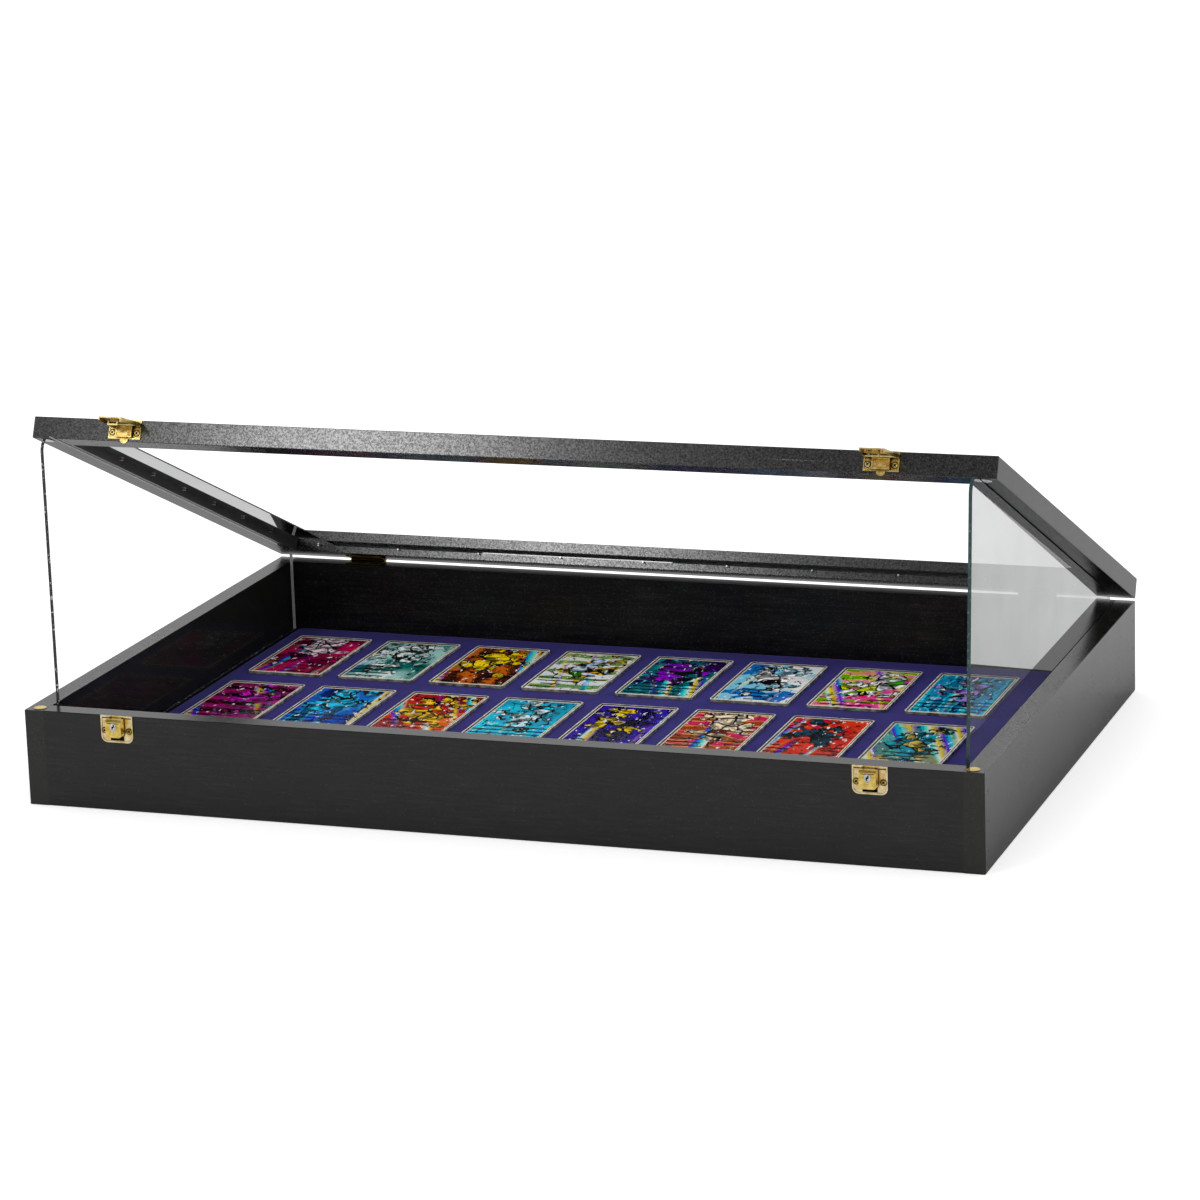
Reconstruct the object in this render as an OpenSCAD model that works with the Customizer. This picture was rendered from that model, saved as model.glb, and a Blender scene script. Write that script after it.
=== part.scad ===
// Table-top display case for trading cards in rigid holders.
// A shallow black wooden box lined with velvet, under a framed glass lid. The lid is hinged along the rear wall
// and rests open on two upright glass side panels.
// Origin: centre of the underside. X runs to the right, Y to the rear, Z up. All sizes are in millimetres.

/* [Case] */
// Overall width of the box, left to right
case_w = 900; // [890:1:1100]
// Overall depth of the box, front to rear
case_d = 600; // [590:1:720]
// Height of the four walls
wall_h = 90; // [86:1:120]
// Thickness of the wall boards
wall_t = 19; // [17:0.5:20]
// Bevel along the outer edges of the boards and rails
arris = 0.5; // [0.4:0.1:1.2]

/* [Base] */
// Thickness of the bottom panel
bottom_t = 6; // [4:0.5:9]
// How far the bottom panel is let into the walls
rabbet_w = 9; // [5:0.5:11]
// Width of the ledges that the side glass stands on
ledge_w = 7; // [6:0.5:8]
// Height of the lined floor and of the ledges
floor_z = 20; // [15:0.5:30]
// Thickness of the velvet cover
velvet_t = 1; // [0.6:0.1:2]

/* [Cards] */
// Width of a card holder
holder_w = 79; // [70:0.5:84]
// Length of a card holder
holder_l = 141; // [120:0.5:150]
// Thickness of a card holder
holder_t = 2.8; // [2.6:0.1:6]
// Corner radius of a card holder
holder_r = 4; // [3.5:0.5:8]
// Width of the rim around the card
rim_w = 1.4; // [1:0.1:3]
// Thickness of the card and its backing inside the rim
card_t = 1.2; // [0.8:0.1:1.4]
// Thickness of the clear cover over the card
cover_t = 0.6; // [0.4:0.1:0.8]
// Number of holders side by side
columns = 8; // [1:1:8]
// Distance from one column to the next
column_pitch = 96.6; // [90:0.2:97]
// Distance from one row to the next
row_pitch = 177; // [160:1:178]
// Distance from the outside of the left wall to the first column
first_column = 44.7; // [40:0.1:50]
// Distance from the outside of the rear wall to the rear row
first_row = 59; // [50:1:60]

/* [Lid] */
// Angle at which the lid rests open
lid_open = 23.7; // [20:0.1:30]
// Thickness of the lid frame
lid_t = 20; // [18:0.5:26]
// Gap between the walls and the closed lid
lid_gap = 1.2; // [1.2:0.1:1.6]
// Width of the lid rails
rail_w = 42; // [38:0.5:55]
// Width of the lip over the edge of the lid glass
lip_w = 13.5; // [8:0.5:16]
// Height of the rabbet under the lip
rabbet_h = 10; // [6:0.5:11]
// Thickness of the lid glass
glass_t = 3; // [2:0.5:4]
// Distance from the front of the lid to the first glazing pin of a side rail
side_pin_start = 54; // [50:1:80]
// Distance between neighbouring glazing pins on the side rails
side_pin_pitch = 73.5; // [50:0.5:90]
// Distance between neighbouring glazing pins on the front and rear rails
end_pin_pitch = 88; // [70:1:115]
// Radius of a glazing pin
glazing_r = 0.8; // [0.6:0.1:1]
// Length of a glazing pin
glazing_l = 8; // [6:0.5:10]

/* [Side glass] */
// Thickness of the side glass
pane_t = 3.2; // [2.5:0.1:4]
// Gap between the side glass and the wall beside it
pane_wall_gap = 1.6; // [1:0.1:2]
// Gap between the ends of the side glass and the front and rear walls
pane_end_gap = 6; // [4:0.5:20]
// Radius of the upper front corner of the side glass
pane_front_r = 12; // [5:0.5:20]
// Radius of the upper rear corner of the side glass
pane_rear_r = 5; // [3:0.5:8]
// Angle at which the right side glass leans outwards
right_lean = 1.1; // [0:0.1:1.1]

/* [Hinges] */
// Distance from the side of the case to the middle of a hinge
hinge_inset = 97.5; // [60:0.5:150]
// Width of a hinge
hinge_w = 38; // [34:1:50]
// Distance of the hinge pin behind the rear wall
hinge_back = 2.3; // [2.3:0.1:4]
// Depth of a hinge leaf, from the pin to its front edge
leaf_d = 17; // [15:0.5:18]
// Thickness of a hinge leaf, let into the wood as far as the gap leaves no room for it
leaf_t = 1; // [0.8:0.1:1.2]
// Outer radius of the hinge knuckles
knuckle_r = 2; // [1.8:0.1:2]
// Radius of the hinge pins
hinge_pin_r = 1; // [0.8:0.1:1.1]
// Number of knuckles on a hinge
knuckles = 5; // [3:2:7]
// Distance between the screws of a hinge leaf
leaf_screw_pitch = 13; // [11:0.5:15]
// Distance from the hinge pin to the screws of a leaf
leaf_screw_y = 11; // [9:0.5:12]

/* [Screws and nails] */
// Shank radius of the screws
screw_r = 1.1; // [0.9:0.1:1.3]
// Length of the screws under the head
screw_l = 9; // [6:0.5:12]
// Head radius of the countersunk hinge screws
flat_head_r = 2.1; // [1.8:0.1:2.4]
// Height of the countersunk heads
flat_head_h = 1; // [0.8:0.1:1.1]
// Head radius of the lock and catch screws
pan_head_r = 2.4; // [2.2:0.1:2.4]
// Height of the lock and catch screw heads
pan_head_h = 0.9; // [0.8:0.05:1]
// Width of the arms of the cross recess
cross_w = 0.9; // [0.5:0.05:0.9]
// Reach of the arms of the cross recess, as a share of the head radius
cross_reach = 0.7; // [0.4:0.02:0.7]
// Depth of the cross recess
cross_d = 0.6; // [0.4:0.05:0.6]
// Radius of the brads that hold the corners
brad_r = 0.9; // [0.7:0.1:1.2]
// Length of the brads
brad_l = 32; // [26:1:40]
// Height of the lowest brad above the base
brad_z = 18; // [12:1:22]
// Depth of the brad heads below the surface
brad_set = 0.4; // [0.2:0.1:0.8]

/* [Bumper discs] */
// Radius of the discs on the wall tops and under the lid
disc_r = 6; // [4:0.5:7]
// Thickness of a disc
disc_t = 0.6; // [0.4:0.1:0.6]
// Distance from the side of the case to the middle of a disc
disc_x = 12; // [9:0.5:14]
// Distance from the front of the case to the middle of a disc
disc_y = 8.5; // [8:0.5:12]

/* [Locks] */
// Distance from the side of the case to the middle of a lock
lock_inset = 96.6; // [60:0.1:150]
// Sideways offset of both locks
lock_shift = -3.7; // [-6:0.1:6]
// Width of the lock plate and of the catch plate
lock_w = 31.5; // [31.5:0.1:36]
// Height of the lock plate
lock_h = 25.2; // [25:0.1:30]
// Radius of the lower corners of the lock plate
lock_r = 6; // [4:0.5:8]
// Thickness of the rims of the lock and catch plates
plate_t = 1.2; // [1:0.1:1.6]
// Thickness of the plates inside the rims
plate_web_t = 0.8; // [0.6:0.1:0.9]
// Width of the rims of the plates
plate_rim = 1.3; // [1:0.1:1.3]
// Sideways distance of the plate screws from the middle of the lock
plate_screw_x = 12; // [11:0.1:12]
// Distance of the lock screws below the top of the wall
lock_screw_drop = 14; // [12:0.5:16]
// Width of the shallow notch at the top of the lock plate
notch_w = 11; // [10.8:0.1:12]
// Height of the notch
notch_h = 4.4; // [4:0.1:4.8]
// Thickness of the plate left in the notch
notch_web_t = 0.5; // [0.3:0.1:0.6]
// Length of the slits beside the notch
slit_l = 6; // [4:0.5:7]
// Height of the slits beside the notch
slit_h = 0.9; // [0.6:0.1:1]
// Distance of the slits below the top of the plate
slit_drop = 1.8; // [1.5:0.1:2.2]
// Sideways distance of the slits from the middle of the lock
slit_x = 11.2; // [10:0.1:11.5]
// Width of the window under the housing
window_w = 13.6; // [12:0.1:14]
// Distance from the bottom of the plate to the window
window_z = 1.9; // [1.6:0.1:3.6]
// Height of the window
window_h = 11; // [9:0.5:11.5]
// Depth of the pocket in the front wall behind the window
pocket_d = 6; // [4:0.5:8]
// Width of the sliding housing
housing_w = 15.4; // [14.5:0.1:16]
// Height of the sliding housing
housing_h = 16.5; // [16:0.1:17]
// Depth of the sliding housing
housing_d = 7.7; // [6:0.1:9]
// Distance of the housing below the top of the wall
housing_drop = 1.9; // [1.6:0.1:2.4]
// Bevel along the upper front edge of the housing
housing_bevel = 2; // [1:0.1:2.5]
// Radius of the lower corners of the housing
housing_r = 2.5; // [1:0.1:3]
// Distance of the groove below the top of the housing
groove_drop = 3.4; // [3:0.1:4]
// Width of the groove across the housing
groove_w = 12.4; // [9:0.1:13]
// Height of the groove across the housing
groove_h = 0.7; // [0.4:0.1:0.8]
// Depth of the groove across the housing
groove_d = 0.8; // [0.3:0.1:1]
// How far the housing can slide down
slide_l = 3; // [2:0.1:3]
// Radius of the key cylinder
key_r = 3.3; // [2.8:0.1:3.5]
// Length of the key cylinder
key_l = 6; // [4:0.1:6.2]
// How far the key cylinder stands out of the housing
key_proud = 0.3; // [0.1:0.1:0.6]
// Distance of the key cylinder below the top of the wall
key_drop = 8.3; // [8:0.1:9]
// Width of each of the two steps of the keyway
keyway_w = 1.3; // [0.7:0.1:1.4]
// Height of the keyway from its middle up and down
keyway_h = 2.4; // [1.6:0.1:2.5]
// Depth of the keyway
keyway_d = 4; // [3:0.1:5]
// Radius of the pilot dot below the key cylinder
dot_r = 1; // [0.7:0.1:1.1]
// Distance from the key cylinder to the pilot dot
dot_drop = 4.7; // [4.7:0.1:5]

/* [Catches] */
// Sideways offset of both catches
catch_shift = -4.5; // [-6:0.1:6]
// Distance from the lid's underside to the lower edge of the catch plate
catch_z = 2.2; // [1.8:0.1:2.6]
// Radius of the tongue under the catch plate
tongue_r = 4; // [3:0.1:4]
// Distance of the flap pin below the top of the lid
flap_drop = 4.5; // [2:0.1:6]
// Distance of the flap pin in front of the lid
flap_pin_y = 3.6; // [3.6:0.1:4]
// Radius of the flap pin
flap_pin_r = 0.8; // [0.6:0.1:0.9]
// Outer radius of the flap knuckles
flap_knuckle_r = 1.7; // [1.5:0.1:1.8]
// Width of each outer knuckle of the catch plate
lug_w = 4; // [3:0.1:5]
// Length of the flap from its pin
flap_l = 32; // [26:0.5:33]
// Width of the free end of the flap
flap_tip_w = 22; // [14:0.5:24]
// Angle at which the flap rests below square to the lid's front
flap_droop = 3; // [0:1:6]
// Height of the flap's plate above its pin
flap_under = 0.5; // [0.3:0.1:0.5]
// Thickness of the flap
flap_t = 1.2; // [1:0.1:1.3]
// Depth of the flanges along the sides of the flap
flange_h = 2.4; // [0.8:0.1:2.4]
// Width of the staple loop
staple_w = 10.2; // [9:0.1:10.4]
// Height of the staple loop under the flap
staple_h = 5.4; // [4.5:0.1:5.4]
// Thickness of the staple loop
staple_t = 1.5; // [1.2:0.1:1.6]
// Distance from the flap pin to the staple loop
staple_y = 23.4; // [23:0.1:24]
// Screw height above the lid's underside on the catch plate
catch_screw_z = 8; // [7.8:0.1:9]
// Width of the raised centre of the catch plate
raised_w = 16; // [14:0.1:17]
// Height of the raised centre above the plate's lower edge
raised_z = 1.4; // [1:0.1:2]
// Depth of the recess in the raised centre
raised_recess = 0.5; // [0.3:0.1:0.8]

/* [Clearances] */
// Gap between pieces that move past each other
fit_gap = 0.3; // [0.25:0.05:0.4]
// Radial gap around pins, screws and the key cylinder
run_gap = 0.05; // [0.03:0.01:0.08]
// Gap around pieces that are set into a recess
seat_gap = 0.25; // [0.1:0.05:0.4]

/* [Hidden] */
$fn = 48;
half_w = case_w / 2;
half_d = case_d / 2;
in_w = half_w - wall_t;
in_d = half_d - wall_t;
liner_w = in_w - ledge_w;
hinge_x = half_w - hinge_inset;
hinge_y = half_d + hinge_back;
hinge_z = wall_h + lid_gap / 2;
lid_z = wall_h + lid_gap;
lid_top = lid_z + lid_t;
lip_z = lid_z + rabbet_h;
rabbet_in = rail_w - lip_w;
glazing_z = lip_z - glass_t - glazing_r - run_gap;
pane_in = in_w - pane_wall_gap - pane_t;
pane_foot = floor_z + fit_gap + pane_t * sin(right_lean);
pane_end = in_d - pane_end_gap;
lock_x = half_w - lock_inset;
screw_z = wall_h - lock_screw_drop;
housing_top = wall_h - housing_drop;
housing_back = plate_t + fit_gap;
housing_front = housing_back + housing_d;
key_z = wall_h - key_drop;
window_low = wall_h - lock_h + window_z;
stem_low = housing_top - housing_h;
flap_z = lid_top - flap_drop;
raised_d = flap_pin_y + flap_under - fit_gap;
flap_root = flap_knuckle_r + 2 * fit_gap;
bevel_small = arris / 2;
arc_steps = 16;
cut = 1;

// Height of the open lid's underside above the floor plane, at a distance y from the middle of the case
function lid_under(y) = hinge_z + (lid_z - hinge_z) / cos(lid_open) + (hinge_y - y) * tan(lid_open);

// Points on a circle from one angle to another
function arc(middle, r, from, to) =
  [for (k = [0 : arc_steps]) let (a = from + (to - from) * k / arc_steps) middle + r * [cos(a), sin(a)]];

// Draws the lid's pieces as if it were closed and swings them up to the rest position
module lid_pose() {
  translate([0, hinge_y, hinge_z])
    rotate([-lid_open, 0, 0])
      translate([0, -hinge_y, -hinge_z])
        children();
}

// Stands a profile drawn in Y and Z up and runs it along X
module along_x(length) {
  rotate([90, 0, 90]) linear_extrude(length) children();
}

// Stands a profile drawn in X and Z up and runs it towards the front
module along_y(length) {
  rotate([90, 0, 0]) linear_extrude(length) children();
}

// Rectangle with four rounded corners, its lower left corner at the origin
module rounded_square(w, l, r) {
  translate([r, 0]) square([w - 2 * r, l]);
  translate([0, r]) square([w, l - 2 * r]);
  for (x = [r, w - r], y = [r, l - r]) translate([x, y]) circle(r);
}

// Rectangle hanging from its upper edge at the origin, with rounded lower corners
module tab_outline(w, h, r) {
  translate([-w / 2, -h + r]) square([w, h - r]);
  translate([-w / 2 + r, -h]) square([w - 2 * r, h]);
  for (side = [-1, 1]) translate([side * (w / 2 - r), -h + r]) circle(r);
}

// Cross-section of a wall, with its outer face at 0 and its thickness towards positive
module wall_profile() {
  polygon([
    [arris, 0], [wall_t, 0], [wall_t, wall_h - bevel_small], [wall_t - bevel_small, wall_h],
    [arris, wall_h], [0, wall_h - arris], [0, arris]
  ]);
}

// Block that fills the rabbets in the walls, less a margin around its edges
module bottom_block(margin) {
  let (x = in_w + rabbet_w - margin, y = in_d + rabbet_w - margin)
    translate([-x, -y, 0]) cube([2 * x, 2 * y, bottom_t]);
}

// Cuts the rabbet for the bottom panel into a wall
module rabbet_cut() {
  bottom_block(0);
  translate([0, 0, -cut]) bottom_block(0);
}

// Plan of the case with bevelled corners, to trim the ends of boards and rails
module plan_outline() {
  polygon([
    for (p = [[1, 1], [-1, 1], [-1, -1], [1, -1]])
      for (q = p[0] * p[1] > 0 ? [[0, 1], [1, 0]] : [[1, 0], [0, 1]])
        [p[0] * (half_w - arris * q[0]), p[1] * (half_d - arris * q[1])]
  ]);
}

// The brads through the side walls, or the holes for them when grown
module brad_set(grow) {
  for (sx = [-1, 1], sy = [-1, 1], z = [brad_z, wall_h / 2, wall_h - brad_z])
    translate([sx * (half_w - brad_set), sy * (half_d - wall_t / 2), z])
      rotate([0, -sx * 90, 0])
        translate([0, 0, grow > 0 ? -cut : 0])
          cylinder(h = brad_l + (grow > 0 ? cut + grow : 0), r = brad_r + grow);
}

// Countersunk screw hanging from its head's face at the origin, or its hole when grown
module flat_screw(grow) {
  translate([0, 0, -flat_head_h - screw_l]) cylinder(h = screw_l + flat_head_h / 2, r = screw_r + grow);
  translate([0, 0, -flat_head_h]) cylinder(h = flat_head_h, r1 = screw_r + grow, r2 = flat_head_r + grow);
}

// Cross recess in the top of a head of radius r, the top at the origin
module cross_recess(r) {
  for (turn = [45, 135])
    rotate([0, 0, turn])
      translate([-r * cross_reach, -cross_w / 2, -cross_d]) cube([2 * r * cross_reach, cross_w, cross_d + cut]);
}

module flat_screw_solid() {
  difference() {
    flat_screw(0);
    cross_recess(flat_head_r);
  }
}

// Pan head screw that points to the rear, its head's seat at the origin
module pan_screw() {
  rotate([90, 0, 0]) {
    difference() {
      union() {
        cylinder(h = pan_head_h / 2, r = pan_head_r);
        translate([0, 0, pan_head_h / 2])
          cylinder(h = pan_head_h / 2, r1 = pan_head_r, r2 = pan_head_r - pan_head_h / 2);
        translate([0, 0, -screw_l]) cylinder(h = screw_l + pan_head_h / 4, r = screw_r);
      }
      translate([0, 0, pan_head_h]) cross_recess(pan_head_r);
    }
  }
}

// Hole for the shank of a pan head screw
module pan_screw_hole() {
  translate([0, screw_l + run_gap, 0])
    rotate([90, 0, 0]) cylinder(h = screw_l + plate_t + cut, r = screw_r + run_gap);
}

module at_hinges() {
  for (side = [-1, 1]) translate([side * hinge_x, hinge_y, hinge_z]) children();
}

// Screws of both hinges, seen from the pin: up into the lid or down into the wall
module leaf_screws(up, grow) {
  at_hinges()
    for (k = [-1, 0, 1])
      translate([k * leaf_screw_pitch, -leaf_screw_y, 0])
        rotate([up ? 180 : 0, 0, 0])
          if (grow > 0) flat_screw(grow);
          else flat_screw_solid();
}

// Recesses for the leaves of both hinges, down into the wall or up into the lid
module leaf_recesses(up) {
  at_hinges()
    mirror([0, 0, up ? 1 : 0])
      translate([-hinge_w / 2 - seat_gap, -leaf_d - seat_gap, -leaf_t])
        cube([hinge_w + 2 * seat_gap, leaf_d + seat_gap + cut, leaf_t + cut]);
}

// Middle of a lock, with the face it is screwed to at y = 0
module at_lock(side) {
  translate([side * lock_x + lock_shift, -half_d, 0]) children();
}

// Middle of a catch on the closed lid, with the face it is screwed to at y = 0
module at_catch(side) {
  translate([side * lock_x + catch_shift, -half_d, 0]) children();
}

// Holes in the front wall behind both locks
module lock_cavities() {
  for (side = [-1, 1]) at_lock(side) {
    translate([-window_w / 2, -cut, window_low]) cube([window_w, pocket_d + cut, window_h]);
    for (sx = [-1, 1]) translate([sx * plate_screw_x, 0, screw_z]) pan_screw_hole();
  }
}

module front_wall() {
  color("#38383a")
    difference() {
      translate([-in_w, -half_d, 0]) along_x(2 * in_w) wall_profile();
      rabbet_cut();
      lock_cavities();
      brad_set(run_gap);
    }
}

module rear_wall() {
  color("#38383a")
    difference() {
      mirror([0, 1, 0]) translate([-in_w, -half_d, 0]) along_x(2 * in_w) wall_profile();
      rabbet_cut();
      leaf_screws(false, run_gap);
      leaf_recesses(false);
      brad_set(run_gap);
    }
}

module left_wall() {
  color("#38383a")
    difference() {
      intersection() {
        translate([-half_w, half_d, 0]) along_y(case_d) wall_profile();
        linear_extrude(wall_h + cut) plan_outline();
      }
      rabbet_cut();
      brad_set(run_gap);
    }
}

module right_wall() {
  mirror([1, 0, 0]) left_wall();
}

module bottom_panel() {
  color("#2a2a2c") bottom_block(seat_gap);
}

module liner_board() {
  color("#8a7a62")
    translate([-liner_w, -in_d, bottom_t]) cube([2 * liner_w, 2 * in_d, floor_z - velvet_t - bottom_t]);
}

module velvet_cover() {
  color("#2f2a66") translate([-liner_w, -in_d, floor_z - velvet_t]) cube([2 * liner_w, 2 * in_d, velvet_t]);
}

module left_ledge() {
  color("#1c1c1e") translate([-in_w, -in_d, bottom_t]) cube([ledge_w, 2 * in_d, floor_z - bottom_t]);
}

module right_ledge() {
  mirror([1, 0, 0]) left_ledge();
}

module corner_brads() {
  color("#2c2c2e") brad_set(0);
}

// A bumper disc that stands on the origin, with a bevelled rim
module disc() {
  cylinder(h = disc_t * 0.6, r = disc_r);
  translate([0, 0, disc_t * 0.6]) cylinder(h = disc_t * 0.4, r1 = disc_r, r2 = disc_r - disc_t * 0.4);
}

module wall_discs() {
  color("#e0c06a")
    for (side = [-1, 1]) translate([side * (half_w - disc_x), -half_d + disc_y, wall_h]) disc();
}

// Puts its child, drawn from a holder's lower left corner, at each place in a row: 0 is the rear row
module each_in_row(row) {
  for (column = [0 : columns - 1])
    translate([
      -half_w + first_column + column * column_pitch,
      half_d - first_row - holder_l - row * row_pitch,
      floor_z
    ])
      children();
}

module holder() {
  difference() {
    linear_extrude(holder_t) rounded_square(holder_w, holder_l, holder_r);
    translate([rim_w, rim_w, holder_t - card_t - cover_t])
      linear_extrude(card_t + cover_t + cut)
        rounded_square(holder_w - 2 * rim_w, holder_l - 2 * rim_w, holder_r - rim_w);
  }
}

// Sheet that fits inside a holder's rim
module holder_sheet(z, thickness) {
  let (inset = rim_w + seat_gap)
    translate([inset, inset, z])
      linear_extrude(thickness)
        rounded_square(holder_w - 2 * inset, holder_l - 2 * inset, holder_r - inset);
}

module card() {
  holder_sheet(holder_t - card_t - cover_t, card_t);
}

module cover() {
  holder_sheet(holder_t - cover_t, cover_t);
}

module rear_holders() {
  color("#d8cfc0") each_in_row(0) holder();
}

module middle_holders() {
  color("#d8cfc0") each_in_row(1) holder();
}

module front_holders() {
  color("#d8cfc0") each_in_row(2) holder();
}

module rear_cards() {
  color("#5a8f96") each_in_row(0) card();
}

module middle_cards() {
  color("#b04a80") each_in_row(1) card();
}

module front_cards() {
  color("#5a4aa0") each_in_row(2) card();
}

module rear_covers() {
  color("#e8f0f2", 0.3) each_in_row(0) cover();
}

module middle_covers() {
  color("#e8f0f2", 0.3) each_in_row(1) cover();
}

module front_covers() {
  color("#e8f0f2", 0.3) each_in_row(2) cover();
}

// One leaf of a hinge, as it lies on the wall, with the pin at the origin. It has every other knuckle.
module hinge_leaf(first) {
  let (pitch = hinge_w / knuckles)
    difference() {
      union() {
        translate([-hinge_w / 2, -leaf_d, -leaf_t])
          cube([hinge_w, leaf_d - knuckle_r - fit_gap, leaf_t]);
        for (k = [first : 2 : knuckles - 1])
          translate([-hinge_w / 2 + k * pitch + fit_gap / 2, 0, 0]) {
            rotate([0, 90, 0]) cylinder(h = pitch - fit_gap, r = knuckle_r);
            translate([0, -knuckle_r - 2 * fit_gap, -leaf_t])
              cube([pitch - fit_gap, knuckle_r + 2 * fit_gap, leaf_t]);
          }
      }
      translate([-hinge_w / 2 - cut, 0, 0])
        rotate([0, 90, 0]) cylinder(h = hinge_w + 2 * cut, r = hinge_pin_r + run_gap);
    }
}

module box_hinge_leaves() {
  color("#b8963c")
    difference() {
      at_hinges() hinge_leaf(0);
      leaf_screws(false, run_gap);
    }
}

module hinge_pins() {
  color("#b8963c")
    at_hinges() translate([-hinge_w / 2, 0, 0]) rotate([0, 90, 0]) cylinder(h = hinge_w, r = hinge_pin_r);
}

module box_leaf_screws() {
  color("#a8893a") leaf_screws(false, 0);
}

module lid_hinge_leaves() {
  color("#b8963c")
    lid_pose() difference() {
      at_hinges() mirror([0, 0, 1]) hinge_leaf(1);
      leaf_screws(true, run_gap);
    }
}

module lid_leaf_screws() {
  color("#a8893a") lid_pose() leaf_screws(true, 0);
}

// Base plate of a lock, hanging from the top of the wall
module lock_plate() {
  translate([0, 0, wall_h]) {
    difference() {
      along_y(plate_t) tab_outline(lock_w, lock_h, lock_r);
      translate([0, -plate_web_t, -plate_rim])
        along_y(plate_t) tab_outline(lock_w - 2 * plate_rim, lock_h - 2 * plate_rim, lock_r - plate_rim);
      translate([-notch_w / 2, -plate_t - cut, -notch_h])
        cube([notch_w, plate_t - notch_web_t + cut, notch_h + cut]);
      for (side = [-1, 1])
        translate([side * slit_x - slit_l / 2, -plate_t - cut, -slit_drop - slit_h])
          cube([slit_l, plate_t + 2 * cut, slit_h]);
      translate([-window_w / 2, -plate_t - cut, window_z - lock_h])
        cube([window_w, plate_t + 2 * cut, window_h]);
      for (side = [-1, 1]) translate([side * plate_screw_x, 0, -lock_screw_drop]) pan_screw_hole();
    }
  }
}

module left_lock_plate() {
  color("#e0c06a") at_lock(-1) lock_plate();
}

module right_lock_plate() {
  color("#e0c06a") at_lock(1) lock_plate();
}

module lock_screws() {
  color("#c9a855")
    for (side = [-1, 1], sx = [-1, 1])
      at_lock(side) translate([sx * plate_screw_x, -plate_web_t, screw_z]) pan_screw();
}

// Housing that slides down to release the flap, with its stem in the window of the plate
module lock_slider() {
  difference() {
    union() {
      intersection() {
        translate([0, -housing_back, housing_top])
          along_y(housing_d) tab_outline(housing_w, housing_h, housing_r);
        translate([-housing_w / 2 - cut, 0, housing_top])
          along_x(housing_w + 2 * cut)
            polygon([
              [-housing_back + cut, -housing_h - cut], [-housing_back + cut, 0],
              [-housing_front + housing_bevel, 0], [-housing_front, -housing_bevel],
              [-housing_front, -housing_h - cut]
            ]);
      }
      translate([-window_w / 2 + fit_gap, -housing_back - cut, stem_low])
        cube([window_w - 2 * fit_gap, housing_back + cut + pocket_d / 2, window_low + window_h - fit_gap - stem_low]);
      translate([0, -housing_front + dot_r / 3, key_z - dot_drop]) sphere(dot_r);
    }
    translate([-groove_w / 2, -housing_front - cut, housing_top - groove_drop])
      cube([groove_w, groove_d + cut, groove_h]);
    translate([0, -housing_front + key_l - key_proud + fit_gap, key_z])
      rotate([90, 0, 0]) cylinder(h = key_l + cut, r = key_r + run_gap);
  }
}

module left_lock_slider() {
  color("#e6c979") at_lock(-1) lock_slider();
}

module right_lock_slider() {
  color("#e6c979") at_lock(1) lock_slider();
}

// Key cylinder with a stepped keyway, facing the front
module key_cylinder() {
  translate([0, -housing_front - key_proud, key_z])
    difference() {
      translate([0, key_l, 0]) rotate([90, 0, 0]) cylinder(h = key_l, r = key_r);
      translate([0, -cut, -keyway_w / 2]) cube([keyway_w, keyway_d + cut, keyway_h + keyway_w / 2]);
      translate([-keyway_w, -cut, -keyway_h]) cube([keyway_w, keyway_d + cut, keyway_h + keyway_w / 2]);
      translate([-keyway_w / 2, -cut, -keyway_w / 2]) cube([keyway_w, keyway_d + cut, keyway_w]);
    }
}

module left_key_cylinder() {
  color("#d8d8da") at_lock(-1) key_cylinder();
}

module right_key_cylinder() {
  color("#d8d8da") at_lock(1) key_cylinder();
}

// Cross-section of a lid rail, with its outer face at 0 and its thickness towards positive
module rail_profile() {
  polygon([
    [arris, lid_z], [rabbet_in - bevel_small, lid_z], [rabbet_in, lid_z + bevel_small], [rabbet_in, lip_z],
    [rail_w, lip_z], [rail_w, lid_top - bevel_small], [rail_w - bevel_small, lid_top],
    [arris, lid_top], [0, lid_top - arris], [0, lid_z + arris]
  ]);
}

// Plan of the front rail with mitred ends
module end_mitre() {
  polygon([
    [-half_w, -half_d], [half_w, -half_d], [half_w - rail_w - cut, -half_d + rail_w + cut],
    [-half_w + rail_w + cut, -half_d + rail_w + cut]
  ]);
}

// Plan of the left rail with mitred ends
module side_mitre() {
  polygon([
    [-half_w, -half_d], [-half_w + rail_w + cut, -half_d + rail_w + cut],
    [-half_w + rail_w + cut, half_d - rail_w - cut], [-half_w, half_d]
  ]);
}

module trimmed_to(height) {
  intersection() {
    children(0);
    linear_extrude(height) intersection() {
      children(1);
      plan_outline();
    }
  }
}

module front_rail_blank() {
  trimmed_to(lid_top + cut) {
    translate([-half_w, -half_d, 0]) along_x(case_w) rail_profile();
    end_mitre();
  }
}

module side_rail_blank() {
  trimmed_to(lid_top + cut) {
    translate([-half_w, half_d, 0]) along_y(case_d) rail_profile();
    side_mitre();
  }
}

// Glazing pins under the lid glass, or their holes in the rails when grown
module glazing_pin_set(grow) {
  for (side = [-1, 1], y = [side_pin_start - half_d : side_pin_pitch : half_d - rail_w])
    translate([side * (half_w - rabbet_in + glazing_l / 2 + grow), y, glazing_z])
      rotate([0, -side * 90, 0]) cylinder(h = glazing_l + grow, r = glazing_r + grow);
  for (side = [-1, 1], end = [-1, 1], x = [end_pin_pitch / 2 : end_pin_pitch : half_w - rail_w])
    translate([end * x, side * (half_d - rabbet_in + glazing_l / 2 + grow), glazing_z])
      rotate([side * 90, 0, 0]) cylinder(h = glazing_l + grow, r = glazing_r + grow);
}

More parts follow.
